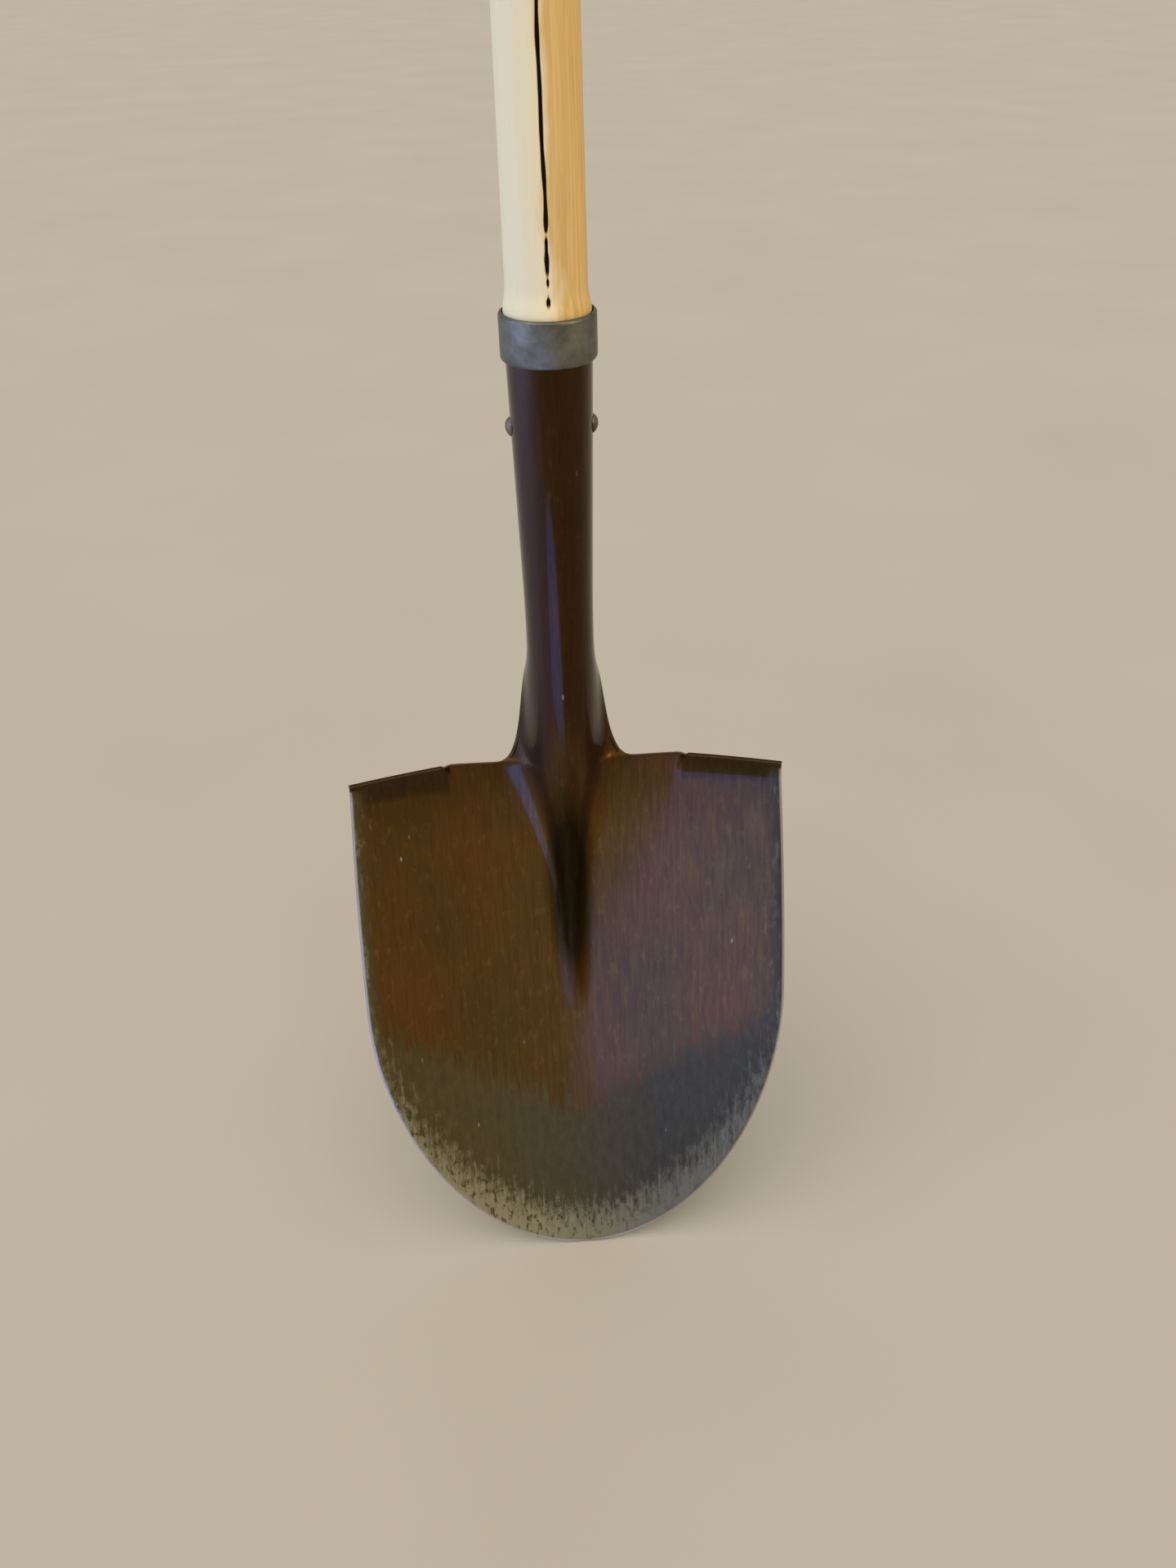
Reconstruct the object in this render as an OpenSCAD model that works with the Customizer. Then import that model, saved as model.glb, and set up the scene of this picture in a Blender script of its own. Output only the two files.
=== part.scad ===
// Long-handled round-point shovel: a pressed steel blade with rolled socket, a collar, a through rivet
// and a turned wooden handle.
// The handle's axis is parallel to +Z, the dished front of the blade faces -Y and the point rests at z = 0.
// The origin lies under the middle of the whole shovel.

/* [Blade] */
// Greatest width of the blade
blade_w = 222; // [200:1:250]
// Width of the blade across its top corners
corner_w = 213; // [190:1:220]
// Length of the blade from its point to its top edge
blade_l = 296; // [280:1:320]
// Length of the rounded point, up to the widest place
point_l = 160; // [120:1:180]
// Angle between the blade and the handle
lift = 17.2; // [14:0.1:20]
// Depth of the dish across the widest place
dish = 22; // [10:1:30]
// Depth of the hollow along the blade
bow = 8; // [0:1:15]
// Thickness of the sheet
sheet_t = 2; // [1.5:0.1:2.5]

/* [Steps] */
// Distance of a step's inner end from the middle
step_x = 59.5; // [50:0.5:70]
// Length of blade that each step is turned from
step_l = 13.5; // [8:0.5:20]
// Radius of the turned step
step_r = 19; // [12:0.5:30]
// Angle that each step is turned through
step_turn = 38; // [20:1:80]
// Rise of the top edge from the neck to the steps
step_rise = 1.5; // [0:0.5:6]
// Drop of the top edge at the outer corners
corner_drop = 2; // [0:0.5:6]

/* [Frog] */
// Length of the ridge below the blade's top edge
frog_l = 137; // [100:1:160]
// Width of the ridge at the blade's top edge
frog_w = 64; // [56:1:66]
// Power that sets how suddenly the ridge widens towards the top edge
frog_power = 1.8; // [1:0.1:2.5]
// Distance from the middle at which the neck's edge runs into the top edge
root_x = 33.5; // [33.5:0.5:40]

/* [Socket] */
// Outside radius of the socket at its mouth
mouth_r = 18.8; // [18:0.1:20]
// Outside radius of the socket at the neck
neck_r = 16.3; // [15:0.1:17]
// Height of the socket's mouth above the point
mouth_z = 497; // [480:1:520]
// Height at which the socket starts to widen
taper_z = 372; // [355:1:400]
// Height at which the socket opens into the blade
neck_z = 350; // [340:1:354]
// Angle of the seam left open at the back of the socket
seam_turn = 10; // [4:1:30]

/* [Collar] */
// Thickness of the collar's wall
collar_t = 1.5; // [1:0.1:3]
// Height of the collar
collar_h = 19; // [16:0.5:30]
// Height of the collar that stands above the socket's mouth
collar_over = 7; // [4:0.5:8]
// Radius of the collar's rounded edges
collar_edge_r = 1.4; // [0.5:0.1:1.4]

/* [Rivet] */
// Distance of the rivet below the socket's mouth
rivet_down = 40.5; // [30:0.5:60]
// Radius of the rivet's shank
rivet_r = 3.2; // [2.5:0.1:4]
// Radius of the rivet's heads
head_r = 4.4; // [4.2:0.1:6]
// Height that a rivet's head stands proud of the socket
head_h = 2; // [1:0.1:3]

/* [Handle] */
// Length of the whole shovel, from the blade's point to the handle's end
total_l = 1500; // [1200:10:1600]
// Radius of the handle just above its swelling
shaft_low_r = 17; // [16:0.1:18]
// Radius of the handle where it has thinned
shaft_mid_r = 16.3; // [16:0.1:17]
// Height at which the handle has thinned
shaft_mid_z = 610; // [560:10:800]
// Radius of the handle's straight top end
grip_r = 16; // [14:0.1:16]
// Length of the handle's straight top end
grip_l = 150; // [80:5:300]
// Height of the dome on the handle's end
dome_h = 10; // [4:1:16]

/* [Hidden] */
$fn = 96;

// Place of the handle's axis and of the blade's point along Y, with the shovel's middle at y = 0
collar_r = mouth_r + collar_t;
pan_forward = 0.6;
point_reach = blade_l * sin(lift) + pan_forward;
axis_y = (point_reach - collar_r) / 2;
point_y = axis_y - point_reach;
// Height of the front face's point that puts the back face's point at z = 0
point_z = sheet_t * sin(lift + atan(4 * bow / blade_l));
dish_k = dish / pow(blade_w / 2, 2);
// Places along the blade where the frog ends and where the steps start to turn
frog_end_v = blade_l - frog_l;
step_v = blade_l - step_l;
// How far the frog's crest moves forward from the neck to its end, and how suddenly
crest_reach = 18.5;
crest_power = 2.3;
// Powers that set how blunt the blade's point is and how sharply the neck opens
point_power = 1.8;
neck_power = 4.5;
// Part of the neck's height over which its edge flares out
flare_part = 0.7;
// Least half width of the columns that the frog fades into
fade_half = 8;
// Width of the blade over which the top edge turns into a step
step_gap = 3;

// Divisions of the blade's mesh: columns of one half, then rows
ridge_cols = 8;
root_cols = 2;
flat_cols = 2;
step_cols = 4;
step_rows = 3;
pan_rows = 24;
socket_rows = 5;
neck_rows = 12;

function mix(a, b, f) = a + (b - a) * f;
function unit(v) = v / norm(v);
function bezier(p, f) = p[0] * pow(1 - f, 3) + 3 * p[1] * pow(1 - f, 2) * f
    + 3 * p[2] * (1 - f) * f * f + p[3] * pow(f, 3);

// Half width of the blade at v, the distance from its point: a blunt half oval, then gently tapering sides
function half_w(v) = v < point_l
    ? blade_w / 2 * sqrt(max(0, 1 - pow(1 - v / point_l, point_power)))
    : mix(blade_w, corner_w, pow((v - point_l) / (blade_l - point_l), 2)) / 2;

// A point of the pan's front face, u across and v up from the point, lifted forward by w
function dish_w(u, v) = dish_k * u * u - 4 * bow * (v / blade_l) * (1 - v / blade_l);
function pan(u, v, w = 0) = let (d = dish_w(u, v) + w)
    [u, point_y + v * sin(lift) - d * cos(lift), point_z + v * cos(lift) + d * sin(lift)];

// The frog: its half width, the line of its crest, and its height above the pan
function frog_part(v) = max(0, (v - frog_end_v) / frog_l);
function crest_y(v) = axis_y - neck_r - crest_reach * pow((blade_l - v) / frog_l, crest_power);
function frog_h(v) = v <= frog_end_v ? 0 : max(0, pan(0, v)[1] - crest_y(v));
// The ridge's side from its crest (f = 0) to its foot (f = 1), as parts of its half width and height
function ridge_x(f) = bezier([0, 0.5, 0.4, 1], f);
function ridge_y(f) = bezier([1, 1, 0, 0], f);

// Columns of one half from the middle out, each with its kind and its place within the kind
middle = ["ridge", 0];
half_cols = concat(
    [middle],
    [for (i = [1:ridge_cols]) ["ridge", i / ridge_cols]],
    [for (i = [1:root_cols]) ["root", i / root_cols]],
    [for (i = [1:flat_cols]) ["flat", i / flat_cols]],
    [for (i = [0:step_cols]) ["step", i / step_cols]]
);
half_n = len(half_cols) - 1;
neck_n = ridge_cols + root_cols;

// Distance of a column from the middle, at the top edge and at v
function top_u(c) = c[0] == "ridge" ? frog_w / 2 * ridge_x(c[1])
    : c[0] == "root" ? mix(frog_w / 2, root_x, c[1])
    : c[0] == "flat" ? mix(root_x, step_x - step_gap / 2, c[1])
    : mix(step_x + step_gap / 2, corner_w / 2, c[1]);
function foot_u(v) = min(max(frog_w / 2 * pow(frog_part(v), frog_power), fade_half), 0.4 * half_w(v));
function col_u(c, v) = let (foot = foot_u(v))
    c[0] == "ridge"
        ? foot * ridge_x(c[1])
        : foot + (top_u(c) - frog_w / 2) * (half_w(v) - foot) / (corner_w / 2 - frog_w / 2);
function col_rise(c, v) = c[0] == "ridge" ? [0, -frog_h(v) * ridge_y(c[1]), 0] : [0, 0, 0];

// Length of the blade at the distance u from the middle
function top_v(u) = u < step_x
    ? blade_l + step_rise * max(0, (u - root_x) / (step_x - root_x))
    : blade_l + step_rise - (step_rise + corner_drop) * (u - step_x) / (corner_w / 2 - step_x);

// Points of column c on side s: on the pan, and on the top strip from the pan (f = 0) to its edge (f = 1)
function pan_point(c, s, v) = pan(s * col_u(c, v), v) + col_rise(c, v);
function step_point(c, u, f) = let (turn = step_turn * f)
    pan(u, step_v + (top_v(abs(u)) - step_v) * sin(turn) / sin(step_turn), step_r * (1 - cos(turn)));
function top_point(c, s, f) = let (u = s * mix(col_u(c, step_v), top_u(c), f))
    c[0] == "step"
        ? step_point(c, u, f)
        : pan(u, mix(step_v, top_v(top_u(c)), f)) + col_rise(c, mix(step_v, blade_l, f));

// The socket, and the neck that opens from the closed socket (f = 1) to the blade's top edge (f = 0)
function socket_r(z) = mix(neck_r, mouth_r, max(0, (z - taper_z) / (mouth_z - taper_z)));
function socket_point(turn, z) = [socket_r(z) * sin(turn), axis_y - socket_r(z) * cos(turn), z];
function col_turn(i) = (180 - seam_turn / 2) * i / neck_n;
function closing(f) = (pow(f, neck_power) + sqrt(1 - pow(1 - min(1, f / flare_part), 2))) / 2;
function neck_point(i, s, f) = let (
    open = top_point(half_cols[i], s, 1),
    shut = socket_point(s * col_turn(i), neck_z)
) [mix(open[0], shut[0], closing(f)), mix(open[1], shut[1], closing(f)), mix(open[2], shut[2], f)];

// The front face as rows from the socket's mouth to the blade's point: narrow ones for socket and neck,
// then wide ones over the whole blade
narrow = concat(
    [for (k = [0:socket_rows]) let (z = mix(mouth_z, neck_z, k / (socket_rows + 1)))
        [for (i = [-neck_n:neck_n]) socket_point(col_turn(i), z)]],
    [for (k = [0:neck_rows - 1]) let (f = pow(1 - k / neck_rows, 1.5))
        [for (i = [-neck_n:neck_n]) neck_point(abs(i), sign(i), f)]]
);
wide = concat(
    [for (k = [0:step_rows])
        [for (i = [-half_n:half_n]) top_point(half_cols[abs(i)], sign(i), 1 - k / step_rows)]],
    [for (k = [1:pan_rows - 1]) let (v = step_v * pow(1 - k / pan_rows, 1.6))
        [for (i = [-half_n:half_n]) pan_point(half_cols[abs(i)], sign(i), v)]]
);
narrow_w = 2 * neck_n + 1;
wide_w = 2 * half_n + 1;
first_wide = len(narrow) * narrow_w;
point_at = first_wide + len(wide) * wide_w;
// Column of the wide rows at which the narrow rows start
side_n = half_n - neck_n;
function narrow_at(r, c) = r < len(narrow) ? r * narrow_w + c : first_wide + side_n + c;
function wide_at(r, c) = first_wide + r * wide_w + c;

// Cells of the front face: four-sided, and three-sided round the point
cells = concat(
    [for (r = [0:len(narrow) - 1], c = [0:narrow_w - 2])
        [narrow_at(r, c), narrow_at(r, c + 1), narrow_at(r + 1, c + 1), narrow_at(r + 1, c)]],
    [for (r = [0:len(wide) - 2], c = [0:wide_w - 2])
        [wide_at(r, c), wide_at(r, c + 1), wide_at(r + 1, c + 1), wide_at(r + 1, c)]],
    [for (c = [0:wide_w - 2]) [wide_at(len(wide) - 1, c), wide_at(len(wide) - 1, c + 1), point_at]]
);

// The sheet's free edge, once round: mouth, right of the neck, top edge, right side, point, and back up
rim = concat(
    [for (c = [0:narrow_w - 1]) narrow_at(0, c)],
    [for (r = [1:len(narrow) - 1]) narrow_at(r, narrow_w - 1)],
    [for (c = [side_n + narrow_w - 1:wide_w - 1]) wide_at(0, c)],
    [for (r = [1:len(wide) - 1]) wide_at(r, wide_w - 1)],
    [point_at],
    [for (r = [len(wide) - 1:-1:0]) wide_at(r, 0)],
    [for (c = [1:side_n]) wide_at(0, c)],
    [for (r = [len(narrow) - 1:-1:1]) narrow_at(r, 0)]
);

// Outward normal at each point, from its neighbours in the same grid
function within(i, n) = max(0, min(n - 1, i));
function grid_normal(g, r, c) = unit(cross(
    g[r][within(c + 1, len(g[r]))] - g[r][within(c - 1, len(g[r]))],
    g[within(r - 1, len(g))][c] - g[within(r + 1, len(g))][c]
));
neck_rows_all = concat(narrow, [[for (c = [0:narrow_w - 1]) wide[0][side_n + c]]]);
front = concat([for (row = narrow, p = row) p], [for (row = wide, p = row) p], [pan(0, 0)]);
normals = concat(
    [for (r = [0:len(narrow) - 1], c = [0:narrow_w - 1]) grid_normal(neck_rows_all, r, c)],
    [for (r = [0:len(wide) - 1], c = [0:wide_w - 1])
        r == 0 && c >= side_n && c < side_n + narrow_w
            ? grid_normal(neck_rows_all, len(narrow), c - side_n)
            : grid_normal(wide, r, c)],
    [unit(cross(pan(1, 0) - pan(-1, 0), pan(0, 1) - pan(0, 0)))]
);

// The blade, steps, frog, neck and socket as one sheet, with the rivet's hole through the socket
module pressed_sheet() {
    n = len(front);
    back = [for (i = [0:n - 1]) front[i] - sheet_t * normals[i]];
    polyhedron(
        points = concat(front, back),
        faces = concat(
            cells,
            [for (q = cells) [for (i = [len(q) - 1:-1:0]) q[i] + n]],
            [for (i = [0:len(rim) - 1]) let (a = rim[i], b = rim[(i + 1) % len(rim)]) [b, a, a + n, b + n]]
        )
    );
}

module on_axis(z = 0) {
    translate([0, axis_y, z]) children();
}

rivet_z = mouth_z - rivet_down;
module rivet_hole() {
    on_axis(rivet_z) rotate([0, 90, 0]) cylinder(r = rivet_r, h = 3 * mouth_r, center = true);
}

module blade() {
    color("#5b4a3f") difference() {
        pressed_sheet();
        rivet_hole();
    }
}

// Points of a quarter round that starts in the direction of angle a0 and turns through 90 degrees
function quarter(x, y, rx, ry, a0) = [for (a = [0:10:90]) [x + rx * cos(a0 + a), y + ry * sin(a0 + a)]];

module collar() {
    outline = concat(
        [[mouth_r, 0]],
        quarter(collar_r - collar_edge_r, collar_edge_r, collar_edge_r, collar_edge_r, -90),
        quarter(collar_r - collar_edge_r, collar_h - collar_edge_r, collar_edge_r, collar_edge_r, 0),
        [[mouth_r, collar_h]]
    );
    color("#9a9d9c") on_axis(mouth_z + collar_over - collar_h) rotate_extrude() polygon(outline);
}

// A rivet's head is a slice of a ball, sunk a little so that its flat side lies on the round socket
head_sink = 0.6;
module rivet_head() {
    full_h = head_h + head_sink;
    ball_r = (head_r * head_r + full_h * full_h) / (2 * full_h);
    half_turn = asin(head_r / ball_r);
    outline = concat(
        [[0, 0]],
        [for (i = [0:8]) let (a = half_turn * (1 - i / 8)) [ball_r * sin(a), full_h - ball_r * (1 - cos(a))]]
    );
    rotate_extrude() polygon(outline);
}

module socket_rivet() {
    seat = socket_r(rivet_z) - head_sink;
    color("#6f6a62") on_axis(rivet_z) {
        rotate([0, 90, 0]) cylinder(r = rivet_r, h = 2 * seat, center = true);
        for (side = [-1, 1])
            rotate([0, side * 90, 0]) translate([0, 0, seat]) rivet_head();
    }
}

// The handle: tenon, shoulder on the socket's mouth, swelling, shaft, straight top end and dome
tenon_foot = 4;
swell_r = mouth_r - 0.3;
swell_h = 17;
module handle() {
    tenon_r = neck_r - sheet_t;
    outline = concat(
        [[0, neck_z], [tenon_r - tenon_foot / 2, neck_z], [tenon_r, neck_z + tenon_foot]],
        [[tenon_r, taper_z], [mouth_r - sheet_t, mouth_z], [swell_r, mouth_z]],
        [for (i = [0:8]) let (f = i / 8)
            [mix(swell_r, shaft_low_r, (1 - cos(180 * f)) / 2), mouth_z + mix(collar_over, swell_h, f)]],
        [[shaft_mid_r, shaft_mid_z], [grip_r, total_l - grip_l]],
        quarter(0, total_l - dome_h, grip_r, dome_h, 0)
    );
    color("#d3ad74") difference() {
        on_axis() rotate_extrude() polygon(outline);
        rivet_hole();
    }
}

blade();
collar();
socket_rivet();
handle();
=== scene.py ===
"""Long-handled round-point shovel: pressed steel blade and socket, zinc collar, through rivet, ash handle.

The point rests on the floor at z = 0, the dished front faces -Y and the handle's axis is parallel to Z.
Lengths are in metres.
"""

import math

import bmesh
import bpy
from mathutils import Matrix, Vector


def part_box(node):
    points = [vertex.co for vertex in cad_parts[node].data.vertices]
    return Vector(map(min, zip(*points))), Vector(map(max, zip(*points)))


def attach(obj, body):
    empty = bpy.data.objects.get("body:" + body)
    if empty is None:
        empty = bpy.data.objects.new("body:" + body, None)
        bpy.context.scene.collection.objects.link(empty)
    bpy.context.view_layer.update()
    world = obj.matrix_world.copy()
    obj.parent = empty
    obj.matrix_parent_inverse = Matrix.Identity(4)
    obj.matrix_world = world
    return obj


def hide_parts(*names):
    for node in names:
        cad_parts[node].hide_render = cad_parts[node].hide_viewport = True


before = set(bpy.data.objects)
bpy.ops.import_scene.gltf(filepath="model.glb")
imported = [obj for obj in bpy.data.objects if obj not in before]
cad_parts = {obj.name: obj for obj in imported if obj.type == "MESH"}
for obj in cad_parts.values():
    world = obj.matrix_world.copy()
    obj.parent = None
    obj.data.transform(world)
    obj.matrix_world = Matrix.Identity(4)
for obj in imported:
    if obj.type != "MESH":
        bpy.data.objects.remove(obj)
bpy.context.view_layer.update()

MM = 0.001
weld_gap = 0.002 * MM

# ---------------------------------------------------------------- sizes

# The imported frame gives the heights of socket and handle, and the places of the collar and the rivet
blade_high = Vector(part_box("blade")[1])
handle_high = Vector(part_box("handle")[1])
collar_low, collar_high = (Vector(corner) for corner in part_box("collar"))
rivet_low, rivet_high = (Vector(corner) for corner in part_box("socket_rivet"))

# Blade: a blunt half oval below its widest place, then gently tapering sides
blade_w = 222 * MM
corner_w = 213 * MM
blade_l = 296 * MM
point_l = 160 * MM
point_power = 1.8
lift = math.radians(17.2)
dish = 22 * MM
bow = 8 * MM
sheet_t = 2 * MM
edge_round = 0.45 * MM
tip_flat = 0.4 * MM

# Steps turned forward at the top edge
step_x = 59.5 * MM
step_gap = 2 * MM
step_l = 13.5 * MM
step_r = 19 * MM
step_turn = math.radians(38)
step_rise = 1.5 * MM
corner_drop = 2 * MM

# Frog, the ridge that runs from the socket down the blade
frog_l = 137 * MM
frog_w = 64 * MM
frog_power = 1.8
root_x = 33.5 * MM
crest_reach = 18.5 * MM
crest_power = 2.3
fade_half = 8 * MM

# Socket and neck
mouth_r = 18.8 * MM
neck_r = 16.3 * MM
mouth_z = blade_high.z
taper_z = 372 * MM
neck_z = 350 * MM
seam_turn = math.radians(10)
neck_power = 4.5
flare_part = 0.7

# Handle: tenon in the socket, swelling over its mouth, shaft, straight top end and dome
handle_top = handle_high.z
tenon_r = neck_r - sheet_t
tenon_foot = 4 * MM
swell_r = mouth_r - 0.5 * MM
swell_h = 17 * MM
shaft_low_r = 17 * MM
shaft_mid_r = 16.3 * MM
shaft_mid_z = 610 * MM
grip_r = 16 * MM
grip_l = 150 * MM
dome_h = 10 * MM

# Drying crack in the front of the handle: a few short dashes, then one long split, each with its low end,
# its high end and the length over which it closes at the top, in millimetres
crack_w = 0.95 * MM
crack_d = 3.2 * MM
crack_start = mouth_z + 3 * MM
crack_taper = 1.2
crack_dashes = [
    (508, 513, crack_taper),
    (515.8, 520, crack_taper),
    (520.2, 534.6, crack_taper),
    (535.4, 930, 160),
]

# Collar and rivet
collar_r = collar_high.x
collar_edge_r = 1.4 * MM
rivet_z = (rivet_low.z + rivet_high.z) / 2
rivet_r = 3.2 * MM
head_r = (rivet_high.z - rivet_low.z) / 2
head_h = 2 * MM
head_sink = 0.6 * MM

# Places along Y: the axis of handle and socket, and the blade's point
pan_forward = 0.6 * MM
axis_y = (collar_low.y + collar_high.y) / 2
point_y = axis_y - blade_l * math.sin(lift) - pan_forward
point_z = sheet_t * math.sin(lift + math.atan(4 * bow / blade_l))
dish_k = dish / (blade_w / 2) ** 2
frog_end_v = blade_l - frog_l
step_v = blade_l - step_l


# ---------------------------------------------------------------- shapes of the pressed sheet

def mix(a, b, f):
    return a + (b - a) * f


def bezier(p, f):
    g = 1 - f
    return p[0] * g ** 3 + 3 * p[1] * g * g * f + 3 * p[2] * g * f * f + p[3] * f ** 3


def half_w(v):
    """Half width of the blade at the distance v from its point."""
    if v < point_l:
        return blade_w / 2 * math.sqrt(max(0, 1 - (1 - v / point_l) ** point_power))
    return mix(blade_w, corner_w, ((v - point_l) / (blade_l - point_l)) ** 2) / 2


def pan(u, v, w=0.0):
    """A point of the dished front face, u across and v up from the point, lifted forward by w."""
    d = dish_k * u * u - 4 * bow * (v / blade_l) * (1 - v / blade_l) + w
    return Vector((
        u,
        point_y + v * math.sin(lift) - d * math.cos(lift),
        point_z + v * math.cos(lift) + d * math.sin(lift),
    ))


def frog_part(v):
    return max(0, (v - frog_end_v) / frog_l)


def frog_h(v):
    """Height of the frog's crest above the pan."""
    if v <= frog_end_v:
        return 0.0
    crest_y = axis_y - neck_r - crest_reach * ((blade_l - v) / frog_l) ** crest_power
    return max(0, pan(0, v).y - crest_y)


def ridge_x(f):
    return bezier([0, 0.5, 0.4, 1], f)


def ridge_y(f):
    return bezier([1, 1, 0, 0], f)


# Columns of one half of the sheet from the middle out, each with its kind and its place within the kind
ridge_n = 8
half_cols = [("ridge", i / ridge_n) for i in range(ridge_n + 1)]
half_cols += [("root", 0.5), ("root", 1.0)]
half_cols += [("flat", f) for f in (0.35, 0.7, 0.94, 1.0)]
half_cols += [("step", f) for f in (0.0, 0.03, 0.25, 0.5, 0.75, 1.0)]
half_n = len(half_cols) - 1
neck_n = ridge_n + 2


def top_u(col):
    """Distance of a column from the middle at the top edge."""
    kind, f = col
    if kind == "ridge":
        return frog_w / 2 * ridge_x(f)
    if kind == "root":
        return mix(frog_w / 2, root_x, f)
    if kind == "flat":
        return mix(root_x, step_x - step_gap / 2, f)
    return mix(step_x + step_gap / 2, corner_w / 2, f)


def col_u(col, v):
    """Distance of a column from the middle at v."""
    kind, f = col
    foot = min(max(frog_w / 2 * frog_part(v) ** frog_power, fade_half), 0.4 * half_w(v))
    if kind == "ridge":
        return foot * ridge_x(f)
    return foot + (top_u(col) - frog_w / 2) * (half_w(v) - foot) / (corner_w / 2 - frog_w / 2)


def col_rise(col, v):
    if col[0] != "ridge":
        return Vector((0, 0, 0))
    return Vector((0, -frog_h(v) * ridge_y(col[1]), 0))


def top_v(u):
    """Length of the blade at the distance u from the middle."""
    if u < step_x:
        return blade_l + step_rise * max(0, (u - root_x) / (step_x - root_x))
    return blade_l + step_rise - (step_rise + corner_drop) * (u - step_x) / (corner_w / 2 - step_x)


def pan_point(col, side, v):
    return pan(side * col_u(col, v), v) + col_rise(col, v)


def top_point(col, side, f):
    """A point of the top strip, from the pan (f = 0) to its edge (f = 1)."""
    u = side * mix(col_u(col, step_v), top_u(col), f)
    if col[0] == "step":
        turn = step_turn * f
        rise = (top_v(abs(u)) - step_v) * math.sin(turn) / math.sin(step_turn)
        return pan(u, step_v + rise, step_r * (1 - math.cos(turn)))
    return pan(u, mix(step_v, top_v(top_u(col)), f)) + col_rise(col, mix(step_v, blade_l, f))


def socket_r(z):
    return mix(neck_r, mouth_r, max(0, (z - taper_z) / (mouth_z - taper_z)))


def socket_point(turn, z):
    r = socket_r(z)
    return Vector((r * math.sin(turn), axis_y - r * math.cos(turn), z))


def col_turn(i):
    return (math.pi - seam_turn / 2) * i / neck_n


def neck_point(i, f):
    """A point of the neck, which opens from the closed socket (f = 1) to the blade's top edge (f = 0).

    Its sides spread faster than its height grows, so that they flare out just above the blade.
    """
    side = -1 if i < 0 else 1
    spread = top_point(half_cols[abs(i)], side, 1)
    shut = socket_point(col_turn(i), neck_z)
    closing = (f ** neck_power + math.sqrt(1 - (1 - min(1, f / flare_part)) ** 2)) / 2
    return Vector((
        mix(spread.x, shut.x, closing),
        mix(spread.y, shut.y, closing),
        mix(spread.z, shut.z, f),
    ))


def outline_distance(u, v, outline):
    """Distance of a point of the flat pattern from the blade's cutting edge."""
    spot = Vector((abs(u), v))
    best = 1.0
    for a, b in zip(outline, outline[1:]):
        along = b - a
        t = max(0, min(1, (spot - a).dot(along) / along.length_squared))
        best = min(best, (spot - a - along * t).length)
    return best


def blade_cage():
    """The sheet's front face as a coarse cage, with its flat pattern and its distance from the edge.

    Its rows run down the socket and the neck, then across the whole blade from the steps to the point.
    They lie closer together towards the foot of the neck and towards the point.
    """
    mesh_points = []
    pattern = []
    rows = []

    def add_row(points, flat):
        first = len(mesh_points)
        mesh_points.extend(points)
        pattern.extend(flat)
        rows.append(list(range(first, first + len(points))))

    # Columns across, numbered from the middle: the neck's, and the whole blade's with their sides
    neck_range = range(-neck_n, neck_n + 1)
    wide_cols = [(half_cols[abs(i)], -1 if i < 0 else 1) for i in range(-half_n, half_n + 1)]
    socket_rows = 7
    for k in range(socket_rows):
        z = mix(mouth_z, neck_z, k / socket_rows)
        add_row(
            [socket_point(col_turn(i), z) for i in neck_range],
            [(col_turn(i) * neck_r, z) for i in neck_range],
        )
    neck_rows = 12
    for k in range(neck_rows):
        f = (1 - k / neck_rows) ** 1.5
        z = mix(blade_l, neck_z, f)
        spread = [math.copysign(top_u(half_cols[abs(i)]), i) for i in neck_range]
        add_row(
            [neck_point(i, f) for i in neck_range],
            [(mix(u, col_turn(i) * neck_r, f), z) for u, i in zip(spread, neck_range)],
        )
    step_rows = 4
    for k in range(step_rows + 1):
        f = 1 - k / step_rows
        v = mix(step_v, blade_l, f)
        add_row(
            [top_point(col, side, f) for col, side in wide_cols],
            [(side * mix(col_u(col, step_v), top_u(col), f), v) for col, side in wide_cols],
        )
    pan_rows = 26
    for k in range(1, pan_rows + 1):
        v = mix(tip_flat, step_v, (1 - k / pan_rows) ** 1.6)
        add_row(
            [pan_point(col, side, v) for col, side in wide_cols],
            [(side * col_u(col, v), v) for col, side in wide_cols],
        )

    narrow_n = socket_rows + neck_rows
    side_n = half_n - neck_n
    faces = []
    for r in range(narrow_n):
        upper = rows[r]
        lower = rows[r + 1]
        if r + 1 == narrow_n:
            lower = lower[side_n:side_n + 2 * neck_n + 1]
        for c in range(2 * neck_n):
            faces.append((upper[c], lower[c], lower[c + 1], upper[c + 1]))
    for r in range(narrow_n, len(rows) - 1):
        for c in range(2 * half_n):
            faces.append((rows[r][c], rows[r + 1][c], rows[r + 1][c + 1], rows[r][c + 1]))

    mesh = bpy.data.meshes.new("blade_sheet")
    mesh.from_pydata(mesh_points, [], faces)
    outline = [Vector((half_w(v), v)) for v in (blade_l * (i / 60) ** 2 for i in range(61))]
    far_from_edge = 0.1
    edge_gap = mesh.attributes.new("edge_gap", "FLOAT", "POINT")
    for i, (u, v) in enumerate(pattern):
        edge_gap.data[i].value = outline_distance(u, v, outline) if v < blade_l else far_from_edge
    lay = mesh.uv_layers.new(name="sheet_lay")
    for loop in mesh.loops:
        lay.data[loop.index].uv = pattern[loop.vertex_index]
    return mesh


# ---------------------------------------------------------------- making and finishing pieces

def add_piece(mesh, node, material):
    """Puts a mesh in the scene as the piece that stands for a CAD node."""
    for face in mesh.polygons:
        face.use_smooth = True
    piece = bpy.data.objects.new(mesh.name, mesh)
    bpy.context.scene.collection.objects.link(piece)
    mesh.materials.append(material)
    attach(piece, "root")
    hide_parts(node)
    return piece


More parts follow.
